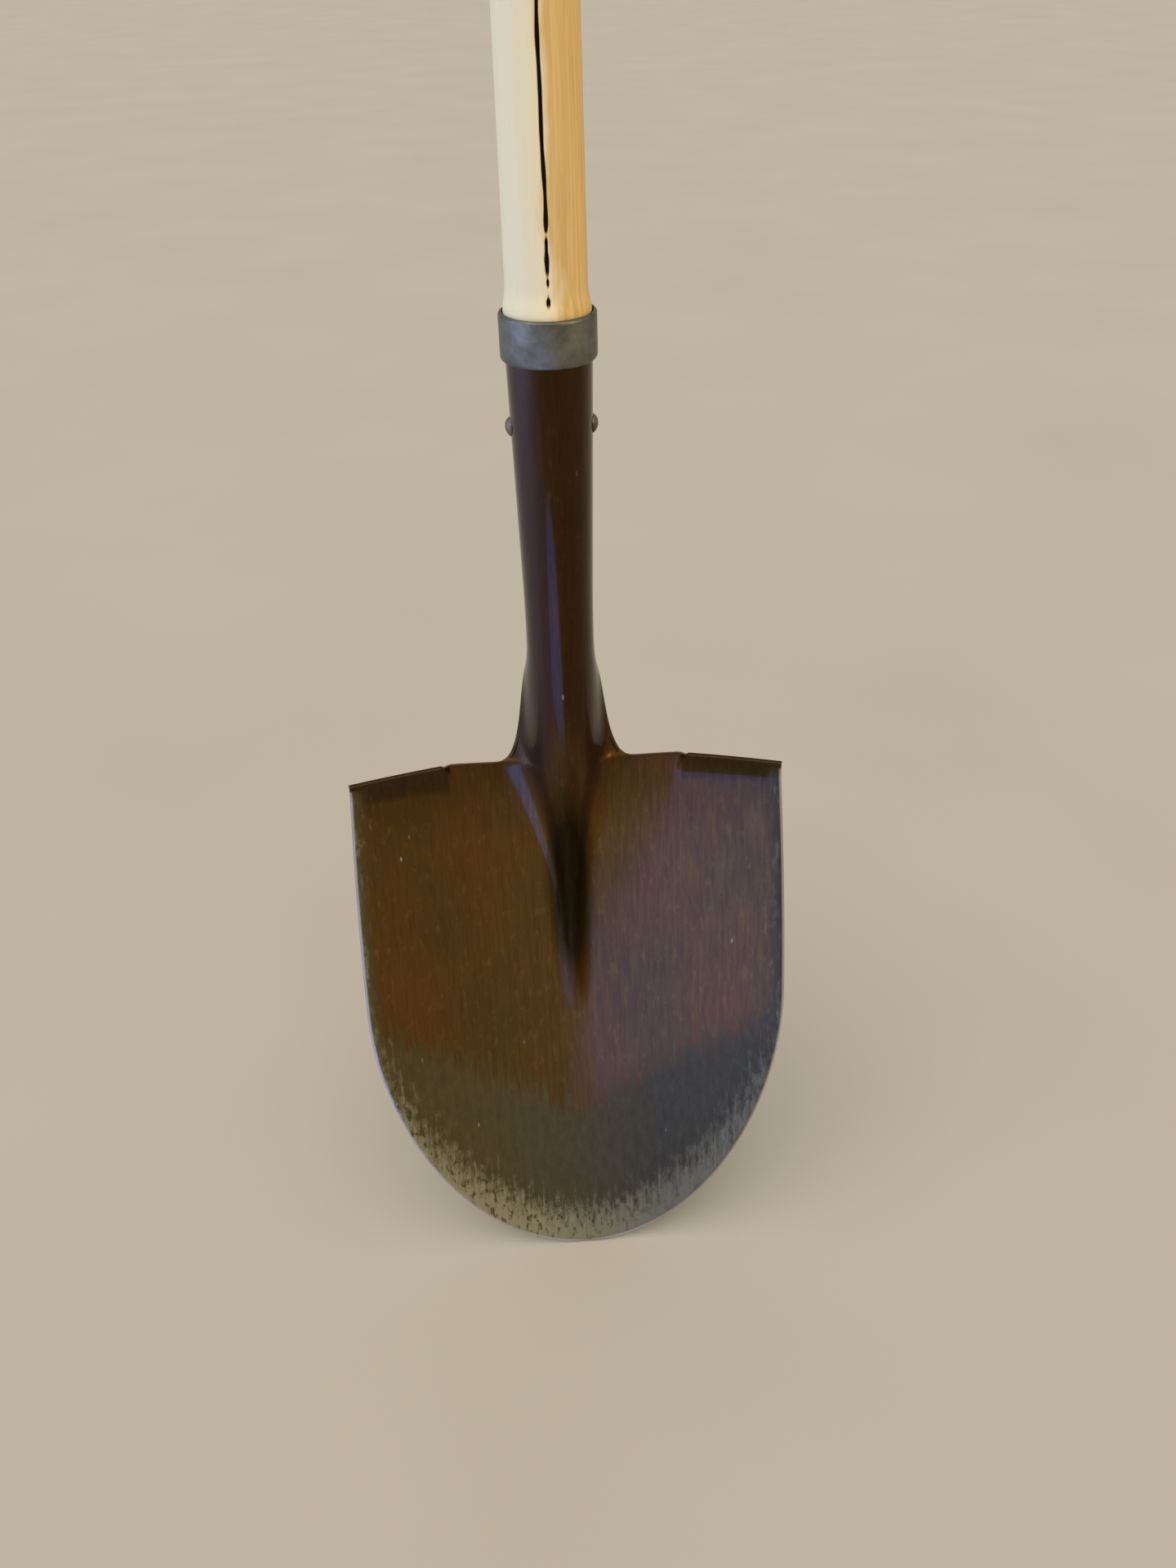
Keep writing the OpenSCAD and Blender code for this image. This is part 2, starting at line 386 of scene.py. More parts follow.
def smooth_more(piece, levels):
    subdivision = piece.modifiers.new("smooth", "SUBSURF")
    subdivision.levels = levels
    subdivision.render_levels = levels
    subdivision.boundary_smooth = "PRESERVE_CORNERS"


def turned(name, outline, closed, steps, place):
    """A mesh turned about Z from an outline of (radius, height) pairs, then set in its place."""
    profile = bpy.data.meshes.new(name + "_profile")
    edges = [(i, i + 1) for i in range(len(outline) - 1)]
    if closed:
        edges.append((len(outline) - 1, 0))
    profile.from_pydata([(r, 0, z) for r, z in outline], edges, [])
    turning = bpy.data.objects.new(name + "_turning", profile)
    bpy.context.scene.collection.objects.link(turning)
    screw = turning.modifiers.new("turn", "SCREW")
    screw.steps = steps
    screw.render_steps = steps
    screw.use_merge_vertices = True
    screw.merge_threshold = weld_gap
    graph = bpy.context.evaluated_depsgraph_get()
    mesh = bpy.data.meshes.new_from_object(turning.evaluated_get(graph))
    mesh.name = name
    bpy.data.objects.remove(turning)
    bpy.data.meshes.remove(profile)
    shape = bmesh.new()
    shape.from_mesh(mesh)
    bmesh.ops.remove_doubles(shape, verts=shape.verts, dist=weld_gap)
    bmesh.ops.transform(shape, matrix=place, verts=shape.verts)
    bmesh.ops.recalc_face_normals(shape, faces=shape.faces)
    shape.to_mesh(mesh)
    shape.free()
    return mesh


def corner(x, z, radius, first, count=5):
    """Points of a quarter round about (x, z), clockwise from the angle first, in degrees."""
    turns = [math.radians(first - 90 * i / (count - 1)) for i in range(count)]
    return [(x + radius * math.cos(a), z + radius * math.sin(a)) for a in turns]


def handle_radius(z):
    """Radius of the handle at the height z."""
    if z < neck_z + tenon_foot:
        return mix(tenon_r - tenon_foot / 2, tenon_r, (z - neck_z) / tenon_foot)
    if z < mouth_z:
        return mix(tenon_r, mouth_r - sheet_t, max(0, (z - taper_z) / (mouth_z - taper_z)))
    if z < collar_high.z:
        return swell_r
    if z < mouth_z + swell_h:
        f = (z - collar_high.z) / (mouth_z + swell_h - collar_high.z)
        return mix(swell_r, shaft_low_r, (1 - math.cos(math.pi * f)) / 2)
    if z < shaft_mid_z:
        return mix(shaft_low_r, shaft_mid_r, (z - mouth_z - swell_h) / (shaft_mid_z - mouth_z - swell_h))
    if z < handle_top - grip_l:
        return mix(shaft_mid_r, grip_r, (z - shaft_mid_z) / (handle_top - grip_l - shaft_mid_z))
    if z < handle_top - dome_h:
        return grip_r
    return grip_r * math.sqrt(max(0, 1 - ((z - handle_top + dome_h) / dome_h) ** 2))


def crack_open(z):
    """How far the crack is open at the height z, from 0 to 1."""
    opening = 0.0
    for low, high, closing in crack_dashes:
        low_end = min(1, max(0, (z / MM - low) / crack_taper))
        high_end = min(1, max(0, (high - z / MM) / closing))
        opening = max(opening, min(low_end, high_end))
    return opening


def handle_cage():
    """The handle as rings of a cage, with the crack sunk into its front.

    Each ring has a few close points across the crack, in crack widths, then even ones round the rest.
    The rings lie close together along the crack and far apart above it.
    """
    tenon_middle = 430 * MM
    dash_step = 1.4 * MM
    split_z = 540 * MM
    split_step = 5 * MM
    plain_z = 950 * MM
    plain_step = 40 * MM
    heights = [neck_z, neck_z + tenon_foot, taper_z, tenon_middle, mouth_z - 0.5 * MM, mouth_z + 0.05 * MM]
    heights += [crack_start + dash_step * i for i in range(28)]
    heights += [split_z + split_step * i for i in range(80)]
    heights += [plain_z + plain_step * i for i in range(14)]
    for angle in (0, 15, 30, 45, 60, 72, 82):
        heights.append(handle_top - dome_h + dome_h * math.sin(math.radians(angle)))
    sides = 30
    bed = 0.3
    wall = 0.62
    lip = 1.0
    beside = 2.2
    wall_sink = 0.12
    groove = [-beside, -lip, -wall, -bed, 0.0, bed, wall, lip, beside]
    spread = [i / sides for i in range(2, sides - 1)]
    points = []
    painted_crack_shade = []
    rings = []
    for z in heights:
        r = handle_radius(z)
        opening = crack_open(z) if z > crack_start else 0.0
        drift = (0.25 * math.sin(z * 61) + 0.15 * math.sin(z * 173 + 1)) * MM
        uneven = 1 + 0.22 * math.sin(z * 410) + 0.15 * math.sin(z * 930 + 2)
        width = crack_w * mix(0.35, 1, opening) * uneven
        ring = []
        for g in groove:
            # Painted shade: points on the crack's walls and bed carry how dark the wood is painted there
            painted_crack_shade.append(opening if abs(g) <= wall else 0.0)
            arc = drift + g * (width if abs(g) <= lip else crack_w)
            deep = crack_d * opening * (1 if abs(g) <= bed else wall_sink if abs(g) <= wall else 0)
            turn = arc / shaft_mid_r
            reach = r - deep * min(1, r / grip_r)
            ring.append(len(points))
            points.append((reach * math.sin(turn), axis_y - reach * math.cos(turn), z))
        for part in spread:
            painted_crack_shade.append(0.0)
            turn = part * 2 * math.pi
            ring.append(len(points))
            points.append((r * math.sin(turn), axis_y - r * math.cos(turn), z))
        rings.append(ring)
    faces = []
    for lower, upper in zip(rings, rings[1:]):
        for c in range(len(lower)):
            d = (c + 1) % len(lower)
            faces.append((lower[c], lower[d], upper[d], upper[c]))
    for ring, z, turned_down in ((rings[0], neck_z, True), (rings[-1], handle_top, False)):
        middle = len(points)
        points.append((0, axis_y, z))
        painted_crack_shade.append(0.0)
        for c in range(len(ring)):
            d = (c + 1) % len(ring)
            faces.append((ring[d], ring[c], middle) if turned_down else (ring[c], ring[d], middle))
    mesh = bpy.data.meshes.new("handle_shaft")
    mesh.from_pydata(points, [], faces)
    in_crack = mesh.attributes.new("in_crack", "FLOAT", "POINT")
    for i, value in enumerate(painted_crack_shade):
        in_crack.data[i].value = value
    return mesh


# ---------------------------------------------------------------- materials

def new_material(name):
    """A material with an empty node tree."""
    material = bpy.data.materials.new(name)
    material.use_nodes = True
    material.node_tree.nodes.clear()
    return material


def lay_out(groups):
    """Puts the nodes of each frame in rows of six, and each frame in its place."""
    for box, members, left, top in groups:
        box.location = (left, top)
        for i, node in enumerate(members):
            node.parent = box
            node.location = (220 * (i % 6), -280 * (i // 6))


def blade_patina(name):
    """Pressed steel under a browned, lightly polished coat that has worn off towards the cutting edge."""
    material = new_material(name)
    nodes = material.node_tree.nodes
    links = material.node_tree.links

    surface = nodes.new("ShaderNodeOutputMaterial")
    surface.label = "Blade surface"
    steel = nodes.new("ShaderNodeBsdfPrincipled")
    steel.label = "Steel and its coat"

    place_frame = nodes.new("NodeFrame")
    place_frame.label = "Place on the sheet"
    lay = nodes.new("ShaderNodeUVMap")
    lay.label = "Flat pattern of the sheet"
    lay_split = nodes.new("ShaderNodeSeparateXYZ")
    lay_split.label = "Across and along"
    from_middle = nodes.new("ShaderNodeMath")
    from_middle.label = "Distance from the middle"
    edge_gap = nodes.new("ShaderNodeAttribute")
    edge_gap.label = "Distance from cutting edge"
    streak_lay = nodes.new("ShaderNodeMapping")
    streak_lay.label = "Draw streaks out along the blade"
    blotch_lay = nodes.new("ShaderNodeMapping")
    blotch_lay.label = "Draw blotches out a little"
    place_nodes = (lay, lay_split, from_middle, edge_gap, streak_lay, blotch_lay)

    brown_frame = nodes.new("NodeFrame")
    brown_frame.label = "Brown coat"
    cloud = nodes.new("ShaderNodeTexNoise")
    cloud.label = "Broad clouds of brown"
    cloud_tone = nodes.new("ShaderNodeValToRGB")
    cloud_tone.label = "Olive to red brown"
    streak = nodes.new("ShaderNodeTexNoise")
    streak.label = "Fine drawn streaks"
    streak_tone = nodes.new("ShaderNodeMapRange")
    streak_tone.label = "Streak strength"
    streaked = nodes.new("ShaderNodeMix")
    streaked.label = "Streaks darken the coat"
    rust_grain = nodes.new("ShaderNodeTexNoise")
    rust_grain.label = "Short rust streaks"
    rust_mask = nodes.new("ShaderNodeMapRange")
    rust_mask.label = "Edge of the rust streaks"
    rusted = nodes.new("ShaderNodeMix")
    rusted.label = "Orange rust in the coat"
    brown_nodes = (cloud, cloud_tone, streak, streak_tone, streaked, rust_grain, rust_mask, rusted)

    # This frame holds the darker socket and frog, the painted shade on the steps and the painted sheen on
    # the socket
    dark_and_painted_light_frame = nodes.new("NodeFrame")
    dark_and_painted_light_frame.label = "Darker socket and frog, painted shade and sheen"
    socket_mask = nodes.new("ShaderNodeMapRange")
    socket_mask.label = "Up the socket"
    socket_dark = nodes.new("ShaderNodeMix")
    socket_dark.label = "Socket darkened"
    core_place = nodes.new("ShaderNodeMapping")
    core_place.label = "Middle of the frog"
    core_ball = nodes.new("ShaderNodeTexGradient")
    core_ball.label = "Long fade down the frog"
    core_mask = nodes.new("ShaderNodeMapRange")
    core_mask.label = "Edge of the dark core"
    # Painted reflection: a purple-grey sheen painted on the left third of the socket, where the cool light
    # from the left gleams
    sheen_place = nodes.new("ShaderNodeMapRange")
    sheen_place.label = "Round the socket"
    sheen_left_third = nodes.new("ShaderNodeValToRGB")
    sheen_left_third.label = "Left third of the socket"
    painted_sheen_mask = nodes.new("ShaderNodeMath")
    painted_sheen_mask.label = "Painted cool sheen on the socket"
    painted_sheen_mix = nodes.new("ShaderNodeMix")
    painted_sheen_mix.label = "Socket with its painted sheen"
    coat_kept = nodes.new("ShaderNodeMath")
    coat_kept.label = "Coat dull along the frog"
    core_dark = nodes.new("ShaderNodeMix")
    core_dark.label = "Frog darkened"
    # Painted shade: the steps are darkened above their bend, where the turned-forward face tips down away
    # from the light above
    step_shade_above_bend = nodes.new("ShaderNodeMapRange")
    step_shade_above_bend.label = "Above the bend of the steps"
    step_shade_outside_ends = nodes.new("ShaderNodeMapRange")
    step_shade_outside_ends.label = "Outside the steps' inner ends"
    step_shade_mask = nodes.new("ShaderNodeMath")
    step_shade_mask.label = "Steps"
    step_painted_shade = nodes.new("ShaderNodeMix")
    step_painted_shade.label = "Painted shade on the steps"
    dark_and_painted_light_nodes = (
        step_shade_above_bend, step_shade_outside_ends, step_shade_mask, step_painted_shade, socket_mask, socket_dark,
        sheen_place, sheen_left_third, painted_sheen_mask, painted_sheen_mix, core_place, core_ball,
        core_mask, core_dark, coat_kept,
    )

    bare_frame = nodes.new("NodeFrame")
    bare_frame.label = "Bare grey steel below the coat"
    bare_line = nodes.new("ShaderNodeMath")
    bare_line.label = "Coat ends higher at the sides"
    bare_ragged = nodes.new("ShaderNodeMath")
    bare_ragged.label = "Coat's end made ragged"
    bare_height = nodes.new("ShaderNodeMath")
    bare_height.label = "Height above the coat's end"
    coat_mask = nodes.new("ShaderNodeMapRange")
    coat_mask.label = "Coat kept"
    side_strip = nodes.new("ShaderNodeMapRange")
    side_strip.label = "Coat rubbed off along the sides"
    coat_left = nodes.new("ShaderNodeMath")
    coat_left.label = "Coat that is left"
    # Partly the bare steel's own tint, partly painted reflection: warmer on the left half, which faces the
    # warm light, cooler on the right
    bare_reflection_side = nodes.new("ShaderNodeMapRange")
    bare_reflection_side.label = "Left to right"
    bare_tint_and_reflection = nodes.new("ShaderNodeMix")
    bare_tint_and_reflection.label = "Olive left, slate right, partly painted reflection"
    bare_light = nodes.new("ShaderNodeMapRange")
    bare_light.label = "Mottled light and dark"
    bare_tone = nodes.new("ShaderNodeMix")
    bare_tone.label = "Mottled bare steel"
    coated = nodes.new("ShaderNodeMix")
    coated.label = "Coat over bare steel"
    bare_nodes = (
        bare_line, bare_ragged, bare_height, coat_mask, side_strip, coat_left,
        bare_reflection_side, bare_tint_and_reflection, bare_light, bare_tone, coated,
    )

    wear_frame = nodes.new("NodeFrame")
    wear_frame.label = "Worn cutting edge"
    wear_width = nodes.new("ShaderNodeMapRange")
    wear_width.label = "Band narrows up the sides"
    wear_mixed = nodes.new("ShaderNodeMath")
    wear_mixed.label = "Long and short streaks"
    wear_ragged = nodes.new("ShaderNodeMath")
    wear_ragged.label = "Ragged by the streaks"
    wear_reach = nodes.new("ShaderNodeMath")
    wear_reach.label = "Width with raggedness"
    wear_inside = nodes.new("ShaderNodeMath")
    wear_inside.label = "How far inside the band"
    wear_mask = nodes.new("ShaderNodeMapRange")
    wear_mask.label = "Worn bright"
    pits = nodes.new("ShaderNodeTexNoise")
    pits.label = "Rust pits in the band"
    pit_mask = nodes.new("ShaderNodeMapRange")
    pit_mask.label = "Pits kept dark"
    # This left-to-right factor sets both the real pits and the worn band's painted reflection, yellowish
    # left and cooler grey right
    pits_and_painted_light_side = nodes.new("ShaderNodeMapRange")
    pits_and_painted_light_side.label = "More pits on the left"
    pit_depth = nodes.new("ShaderNodeMath")
    pit_depth.label = "Pits by side"
    wear_pitted = nodes.new("ShaderNodeMath")
    wear_pitted.label = "Bright but for the pits"
    worn_tint_and_reflection = nodes.new("ShaderNodeMix")
    worn_tint_and_reflection.label = "Yellowish left, bluish right, partly painted reflection"
    worn = nodes.new("ShaderNodeMix")
    worn.label = "Worn steel over the rest"
    wear_nodes = (
        wear_width, wear_mixed, wear_ragged, wear_reach, wear_inside, wear_mask, pits,
        pit_mask, pits_and_painted_light_side, pit_depth, wear_pitted, worn_tint_and_reflection, worn,
    )

    fleck_frame = nodes.new("NodeFrame")
    fleck_frame.label = "Bright nicks and filed rim"
    fleck_cells = nodes.new("ShaderNodeTexVoronoi")
    fleck_cells.label = "Scattered nicks"
    fleck_size = nodes.new("ShaderNodeMapRange")
    fleck_size.label = "Small size of a nick"
    fleck_pick = nodes.new("ShaderNodeMapRange")
    fleck_pick.label = "Few of the cells"
    fleck_mask = nodes.new("ShaderNodeMath")
    fleck_mask.label = "Nicks"
    rim_mask = nodes.new("ShaderNodeMapRange")
    rim_mask.label = "Filed rim"
    bright_mask = nodes.new("ShaderNodeMath")
    bright_mask.label = "Nicks and rim"
    brightened = nodes.new("ShaderNodeMix")
    brightened.label = "Bright metal"
    fleck_nodes = (fleck_cells, fleck_size, fleck_pick, fleck_mask, rim_mask, bright_mask, brightened)

    finish_frame = nodes.new("NodeFrame")
    finish_frame.label = "Gloss and relief"
    gloss = nodes.new("ShaderNodeMapRange")
    gloss.label = "Roughness from streaks"
    relief_sum = nodes.new("ShaderNodeMath")
    relief_sum.label = "Streaks and rust raised"
    relief = nodes.new("ShaderNodeBump")
    relief.label = "Fine relief"
    finish_nodes = (gloss, relief_sum, relief)

    lay_out((
        (place_frame, place_nodes, -2900, 300),
        (brown_frame, brown_nodes, -2500, 900),
        (dark_and_painted_light_frame, dark_and_painted_light_nodes, -700, 900),
        (bare_frame, bare_nodes, -2500, 100),
        (wear_frame, wear_nodes, -2500, -600),
        (fleck_frame, fleck_nodes, 200, -600),
        (finish_frame, finish_nodes, 200, -1100),
    ))
    steel.location = (1900, 0)
    surface.location = (2250, 0)

    tints = (
        streaked, rusted, step_painted_shade, socket_dark, painted_sheen_mix, core_dark,
        bare_tint_and_reflection, bare_tone, coated, worn_tint_and_reflection, worn, brightened,
    )
    for tint in tints:
        tint.data_type = "RGBA"
    for tint in (streaked, step_painted_shade, socket_dark, core_dark, bare_tone):
        tint.blend_type = "MULTIPLY"
    lay.uv_map = "sheet_lay"
    from_middle.operation = "ABSOLUTE"
    edge_gap.attribute_name = "edge_gap"
    streak_lay.inputs["Scale"].default_value = (1.0, 0.07, 1.0)
    blotch_lay.inputs["Scale"].default_value = (1.0, 0.4, 1.0)

    cloud.inputs["Scale"].default_value = 26
    cloud.inputs["Detail"].default_value = 6
    cloud.inputs["Roughness"].default_value = 0.6
    cloud_tone.color_ramp.elements[0].position = 0.36
    cloud_tone.color_ramp.elements[0].color = (0.100, 0.053, 0.006, 1)
    cloud_tone.color_ramp.elements[1].position = 0.66
    cloud_tone.color_ramp.elements[1].color = (0.140, 0.056, 0.006, 1)
    streak.inputs["Scale"].default_value = 520
    streak.inputs["Detail"].default_value = 6
    streak.inputs["Roughness"].default_value = 0.7
    streak_tone.inputs["From Min"].default_value = 0.34
    streak_tone.inputs["From Max"].default_value = 0.62
    streak_tone.inputs["To Min"].default_value = 0.75
    streak_tone.inputs["To Max"].default_value = 0.0
    streaked.inputs["B"].default_value = (0.62, 0.60, 0.5, 1)
    rust_grain.inputs["Scale"].default_value = 270
    rust_grain.inputs["Detail"].default_value = 5
    rust_grain.inputs["Roughness"].default_value = 0.65
    rust_mask.inputs["From Min"].default_value = 0.55
    rust_mask.inputs["From Max"].default_value = 0.75
    rust_mask.inputs["To Max"].default_value = 0.45
    rusted.inputs["B"].default_value = (0.24, 0.115, 0.022, 1)

    # Painted shade on the steps, multiplied into the coat's colour above the bend and outside the steps'
    # inner ends
    step_shade_above_bend.inputs["From Min"].default_value = step_v - 0.001
    step_shade_above_bend.inputs["From Max"].default_value = step_v + 0.002
    step_shade_outside_ends.inputs["From Min"].default_value = step_x - 0.001
    step_shade_outside_ends.inputs["From Max"].default_value = step_x + 0.0005
    step_shade_outside_ends.inputs["To Max"].default_value = 0.9
    step_shade_mask.operation = "MULTIPLY"
    step_painted_shade.inputs["B"].default_value = (0.55, 0.6, 0.55, 1)
    socket_mask.inputs["From Min"].default_value = 0.255
    socket_mask.inputs["From Max"].default_value = 0.330
    socket_mask.inputs["To Max"].default_value = 0.85
    socket_dark.inputs["B"].default_value = (0.27, 0.20, 0.15, 1)
    # Painted sheen on the socket's left third, mixed towards a purple grey
    sheen_place.inputs["From Min"].default_value = -0.05
    sheen_place.inputs["From Max"].default_value = 0.05
    sheen_left_third.color_ramp.elements[0].position = 0.17
    sheen_left_third.color_ramp.elements[0].color = (0, 0, 0, 1)
    sheen_left_third.color_ramp.elements[1].position = 0.46
    sheen_left_third.color_ramp.elements[1].color = (0, 0, 0, 1)
    for position, strength in ((0.25, 0.85), (0.39, 0.7)):
        stop = sheen_left_third.color_ramp.elements.new(position)
        stop.color = (strength, strength, strength, 1)
    painted_sheen_mask.operation = "MULTIPLY"
    painted_sheen_mix.inputs["B"].default_value = (0.060, 0.049, 0.056, 1)
    core_place.vector_type = "TEXTURE"
    core_place.inputs["Location"].default_value = (0.0, 0.225, 0.0)
    core_place.inputs["Scale"].default_value = (0.015, 0.082, 1.0)
    core_ball.gradient_type = "SPHERICAL"
    core_mask.inputs["From Max"].default_value = 0.5
    core_mask.inputs["To Max"].default_value = 0.95
    coat_kept.operation = "MULTIPLY_ADD"
    coat_kept.use_clamp = True
    coat_kept.inputs[1].default_value = -1.0
    core_dark.inputs["B"].default_value = (0.13, 0.17, 0.30, 1)

    bare_line.operation = "MULTIPLY_ADD"
    bare_line.inputs[1].default_value = 0.62
    bare_line.inputs[2].default_value = 0.083
    bare_ragged.operation = "MULTIPLY_ADD"
    bare_ragged.inputs[1].default_value = 0.09
    bare_height.operation = "SUBTRACT"
    coat_mask.interpolation_type = "SMOOTHSTEP"
    coat_mask.inputs["From Min"].default_value = -0.057
    coat_mask.inputs["From Max"].default_value = -0.033
    side_strip.interpolation_type = "SMOOTHSTEP"
    side_strip.inputs["From Min"].default_value = 0.002
    side_strip.inputs["From Max"].default_value = 0.009
    coat_left.operation = "MULTIPLY"
    # Left-to-right tint of the bare steel, partly painted reflection of the warm and cool lights
    bare_reflection_side.inputs["From Min"].default_value = -0.045
    bare_reflection_side.inputs["From Max"].default_value = 0.045
    bare_tint_and_reflection.inputs["A"].default_value = (0.120, 0.086, 0.024, 1)
    bare_tint_and_reflection.inputs["B"].default_value = (0.074, 0.062, 0.035, 1)
    bare_light.inputs["From Min"].default_value = 0.35
    bare_light.inputs["From Max"].default_value = 0.65
    bare_light.inputs["To Min"].default_value = 0.55
    bare_light.inputs["To Max"].default_value = 0.0
    bare_tone.inputs["B"].default_value = (0.6, 0.6, 0.6, 1)

    wear_width.inputs["From Min"].default_value = 0.02
    wear_width.inputs["From Max"].default_value = 0.16
    wear_width.inputs["To Min"].default_value = 0.020
    wear_width.inputs["To Max"].default_value = -0.008
    wear_mixed.operation = "ADD"
    wear_ragged.operation = "MULTIPLY_ADD"
    wear_ragged.inputs[1].default_value = 0.045
    wear_ragged.inputs[2].default_value = -0.045
    wear_reach.operation = "ADD"
    wear_inside.operation = "SUBTRACT"
    wear_mask.interpolation_type = "SMOOTHSTEP"
    wear_mask.inputs["From Min"].default_value = -0.013
    wear_mask.inputs["From Max"].default_value = 0.015
    pits.inputs["Scale"].default_value = 330
    pits.inputs["Detail"].default_value = 5
    pits.inputs["Roughness"].default_value = 0.7
    pit_mask.inputs["From Min"].default_value = 0.41
    pit_mask.inputs["From Max"].default_value = 0.47
    pit_mask.inputs["To Min"].default_value = 1.0
    pit_mask.inputs["To Max"].default_value = 0.0
    pits_and_painted_light_side.inputs["From Min"].default_value = -0.03
    pits_and_painted_light_side.inputs["From Max"].default_value = 0.05
    pits_and_painted_light_side.inputs["To Min"].default_value = 0.9
    pits_and_painted_light_side.inputs["To Max"].default_value = 0.25
    pit_depth.operation = "MULTIPLY"
    wear_pitted.operation = "SUBTRACT"
    wear_pitted.use_clamp = True
    # Worn band's tone: partly its own tint, partly painted reflection of the warm light on the left half
    worn_tint_and_reflection.inputs["A"].default_value = (0.110, 0.104, 0.068, 1)
    worn_tint_and_reflection.inputs["B"].default_value = (0.38, 0.31, 0.12, 1)

    fleck_cells.voronoi_dimensions = "2D"
    fleck_cells.inputs["Scale"].default_value = 210
    fleck_size.inputs["From Min"].default_value = 0.05
    fleck_size.inputs["From Max"].default_value = 0.14
    fleck_size.inputs["To Min"].default_value = 1.0
    fleck_size.inputs["To Max"].default_value = 0.0
    fleck_pick.inputs["From Min"].default_value = 0.90
    fleck_pick.inputs["From Max"].default_value = 0.97
    fleck_mask.operation = "MULTIPLY"
    rim_mask.inputs["From Min"].default_value = 0.0003
    rim_mask.inputs["From Max"].default_value = 0.0012
    rim_mask.inputs["To Min"].default_value = 0.8
    rim_mask.inputs["To Max"].default_value = 0.0
    bright_mask.operation = "MAXIMUM"
    brightened.inputs["B"].default_value = (0.52, 0.44, 0.34, 1)

    gloss.inputs["From Min"].default_value = 0.3
    gloss.inputs["From Max"].default_value = 0.7
    gloss.inputs["To Min"].default_value = 0.52
    gloss.inputs["To Max"].default_value = 0.36
    relief_sum.operation = "ADD"
    relief.inputs["Strength"].default_value = 0.16
    relief.inputs["Distance"].default_value = 0.0003
    steel.inputs["Metallic"].default_value = 1.0
    steel.inputs["Coat Roughness"].default_value = 0.12
    steel.inputs["Coat IOR"].default_value = 1.2

    links.new(lay.outputs["UV"], lay_split.inputs["Vector"])
    links.new(lay.outputs["UV"], streak_lay.inputs["Vector"])
    links.new(lay.outputs["UV"], blotch_lay.inputs["Vector"])
    links.new(lay_split.outputs["X"], from_middle.inputs[0])

    links.new(blotch_lay.outputs["Vector"], cloud.inputs["Vector"])
    links.new(cloud.outputs["Fac"], cloud_tone.inputs["Fac"])
    links.new(streak_lay.outputs["Vector"], streak.inputs["Vector"])
    links.new(streak.outputs["Fac"], streak_tone.inputs["Value"])
    links.new(streak_tone.outputs["Result"], streaked.inputs["Factor"])
    links.new(cloud_tone.outputs["Color"], streaked.inputs["A"])
    links.new(blotch_lay.outputs["Vector"], rust_grain.inputs["Vector"])
    links.new(rust_grain.outputs["Fac"], rust_mask.inputs["Value"])
    links.new(rust_mask.outputs["Result"], rusted.inputs["Factor"])
    links.new(streaked.outputs["Result"], rusted.inputs["A"])

    links.new(lay_split.outputs["Y"], socket_mask.inputs["Value"])
    links.new(socket_mask.outputs["Result"], socket_dark.inputs["Factor"])
    links.new(lay_split.outputs["Y"], step_shade_above_bend.inputs["Value"])
    links.new(from_middle.outputs["Value"], step_shade_outside_ends.inputs["Value"])
    links.new(step_shade_above_bend.outputs["Result"], step_shade_mask.inputs[0])
    links.new(step_shade_outside_ends.outputs["Result"], step_shade_mask.inputs[1])
    links.new(step_shade_mask.outputs["Value"], step_painted_shade.inputs["Factor"])
    links.new(rusted.outputs["Result"], step_painted_shade.inputs["A"])
    links.new(step_painted_shade.outputs["Result"], socket_dark.inputs["A"])
    links.new(lay.outputs["UV"], core_place.inputs["Vector"])
    links.new(core_place.outputs["Vector"], core_ball.inputs["Vector"])
    links.new(core_ball.outputs["Fac"], core_mask.inputs["Value"])
    links.new(core_mask.outputs["Result"], core_dark.inputs["Factor"])
    links.new(lay_split.outputs["X"], sheen_place.inputs["Value"])
    links.new(sheen_place.outputs["Result"], sheen_left_third.inputs["Fac"])
    links.new(sheen_left_third.outputs["Color"], painted_sheen_mask.inputs[0])
    links.new(socket_mask.outputs["Result"], painted_sheen_mask.inputs[1])
    links.new(painted_sheen_mask.outputs["Value"], painted_sheen_mix.inputs["Factor"])
    links.new(socket_dark.outputs["Result"], painted_sheen_mix.inputs["A"])
    links.new(painted_sheen_mix.outputs["Result"], core_dark.inputs["A"])

    links.new(from_middle.outputs["Value"], bare_line.inputs[0])
    links.new(streak.outputs["Fac"], bare_ragged.inputs[0])
    links.new(bare_line.outputs["Value"], bare_ragged.inputs[2])
    links.new(lay_split.outputs["Y"], bare_height.inputs[0])
    links.new(bare_ragged.outputs["Value"], bare_height.inputs[1])
    links.new(bare_height.outputs["Value"], coat_mask.inputs["Value"])
    links.new(edge_gap.outputs["Fac"], side_strip.inputs["Value"])
    links.new(coat_mask.outputs["Result"], coat_left.inputs[0])
    links.new(side_strip.outputs["Result"], coat_left.inputs[1])
    links.new(lay_split.outputs["X"], bare_reflection_side.inputs["Value"])
    links.new(bare_reflection_side.outputs["Result"], bare_tint_and_reflection.inputs["Factor"])
    links.new(rust_grain.outputs["Fac"], bare_light.inputs["Value"])
    links.new(bare_light.outputs["Result"], bare_tone.inputs["Factor"])
    links.new(bare_tint_and_reflection.outputs["Result"], bare_tone.inputs["A"])
    links.new(coat_left.outputs["Value"], coated.inputs["Factor"])
    links.new(bare_tone.outputs["Result"], coated.inputs["A"])
    links.new(core_dark.outputs["Result"], coated.inputs["B"])

